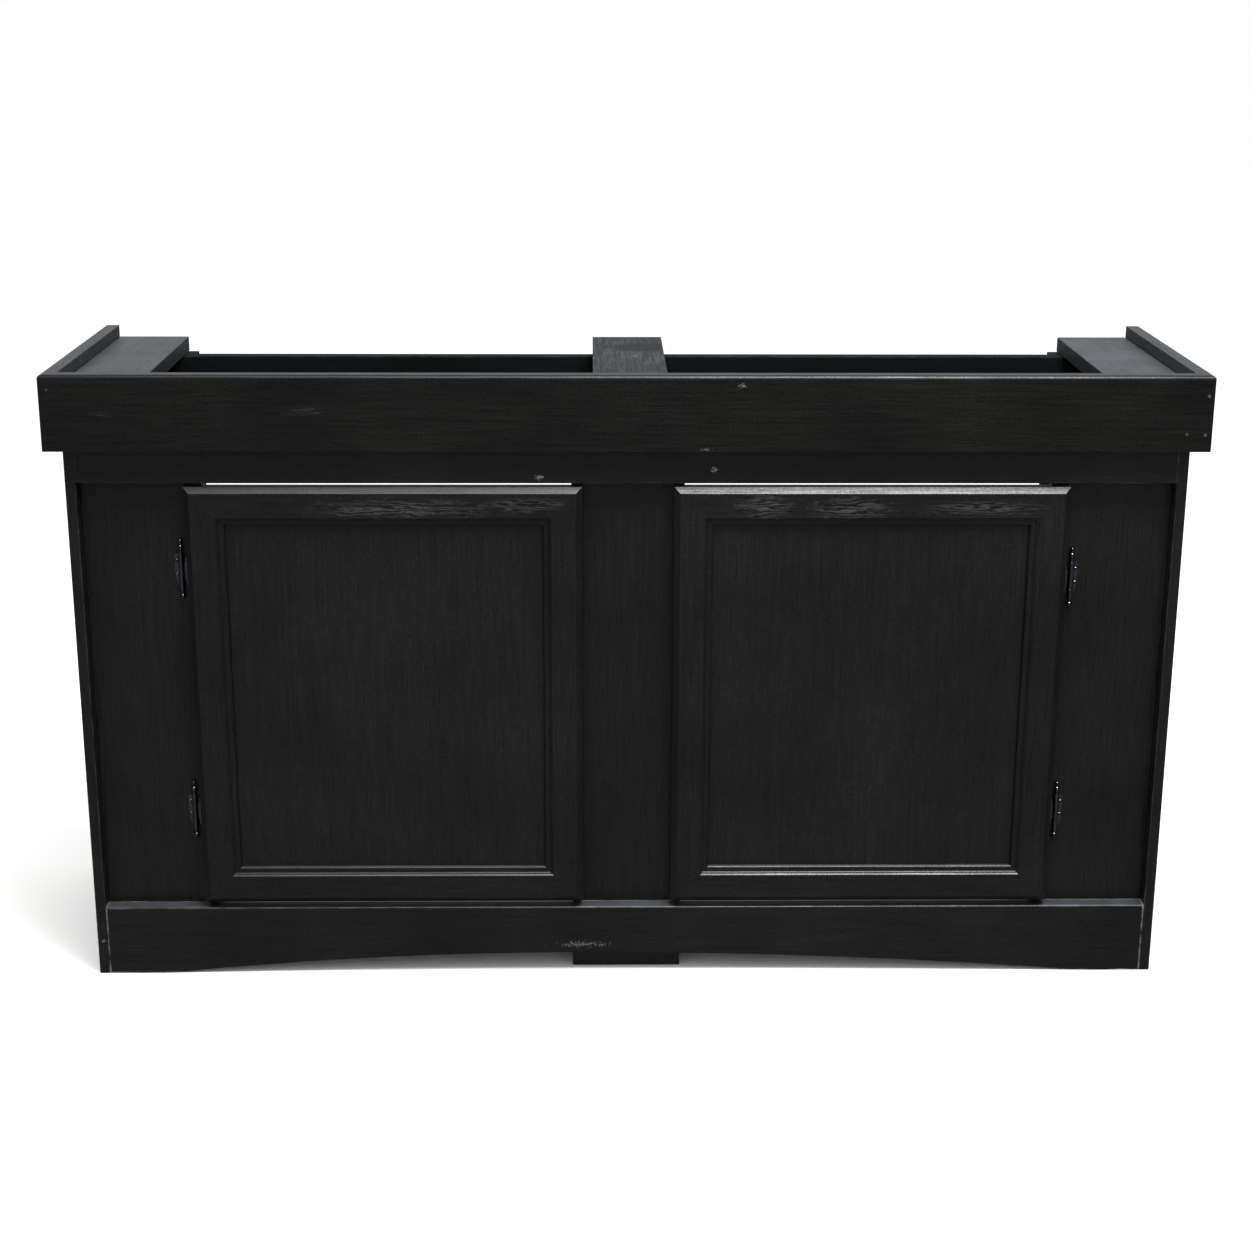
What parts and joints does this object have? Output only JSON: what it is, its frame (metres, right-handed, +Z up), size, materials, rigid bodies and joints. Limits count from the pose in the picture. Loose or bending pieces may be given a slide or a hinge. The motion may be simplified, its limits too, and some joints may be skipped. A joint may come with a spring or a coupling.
{
  "type": "aquarium stand cabinet",
  "caption": "Long low wooden stand that carries an aquarium inside a raised rim, with an open back and hinged framed doors in front for filters and supplies.",
  "frame": {"origin": "on the floor, at the middle of the footprint", "axes": "+Z up, the doors face -Y, +X to the right when facing the doors"},
  "size_m": [1.27, 0.343, 0.711],
  "materials": {
    "case_paint": "satin black paint over wood grain",
    "top_paint": "rubbed satin black paint on top boards",
    "inside_paint": "flat thin black paint on rough boards",
    "door_paint": "satin black paint on mitred moulding",
    "door_panel_paint": "satin black paint on plywood",
    "hinge_enamel": "gloss black enamel",
    "bumper_rubber": "soft matt"
  },
  "bodies": {
    "cabinet": {"left_side_panel": "case_paint", "right_side_panel": "case_paint", "left_stile": "case_paint", "centre_stile": "case_paint", "right_stile": "case_paint", "front_top_rail": "case_paint", "base_skirt": "case_paint", "back_top_rail": "inside_paint", "back_bottom_rail": "inside_paint", "back_left_post": "inside_paint", "back_right_post": "inside_paint", "left_end_board": "top_paint", "middle_board": "top_paint", "right_end_board": "top_paint", "front_rim": "case_paint", "left_rim": "case_paint", "right_rim": "case_paint", "shelf": "inside_paint", "front_shelf_cleat": "inside_paint", "back_shelf_cleat": "inside_paint", "left_shelf_cleat": "inside_paint", "right_shelf_cleat": "inside_paint", "left_upper_hinge_wing": "hinge_enamel", "left_upper_hinge_pin": "hinge_enamel", "left_lower_hinge_wing": "hinge_enamel", "left_lower_hinge_pin": "hinge_enamel", "right_upper_hinge_wing": "hinge_enamel", "right_upper_hinge_pin": "hinge_enamel", "right_lower_hinge_wing": "hinge_enamel", "right_lower_hinge_pin": "hinge_enamel", "wing_screws": "hinge_enamel"},
    "left_door": {"left_door_hinge_bar": "door_paint", "left_door_free_bar": "door_paint", "left_door_top_bar": "door_paint", "left_door_foot_bar": "door_paint", "left_door_panel": "door_panel_paint", "left_upper_hinge_leaf": "hinge_enamel", "left_lower_hinge_leaf": "hinge_enamel", "left_leaf_screws": "hinge_enamel", "left_door_bumpers": "bumper_rubber"},
    "right_door": {"right_door_hinge_bar": "door_paint", "right_door_free_bar": "door_paint", "right_door_top_bar": "door_paint", "right_door_foot_bar": "door_paint", "right_door_panel": "door_panel_paint", "right_upper_hinge_leaf": "hinge_enamel", "right_lower_hinge_leaf": "hinge_enamel", "right_leaf_screws": "hinge_enamel", "right_door_bumpers": "bumper_rubber"}
  },
  "joints": [
    {"name": "left_door_hinge", "type": "hinge", "parent": "cabinet", "child": "left_door", "pos_m": [-0.4975, -0.1395, 0.35], "axis": [0, 0, -1], "range_deg": [0, 105]},
    {"name": "right_door_hinge", "type": "hinge", "parent": "cabinet", "child": "right_door", "pos_m": [0.4975, -0.1395, 0.35], "axis": [0, 0, 1], "range_deg": [0, 105]}
  ]
}
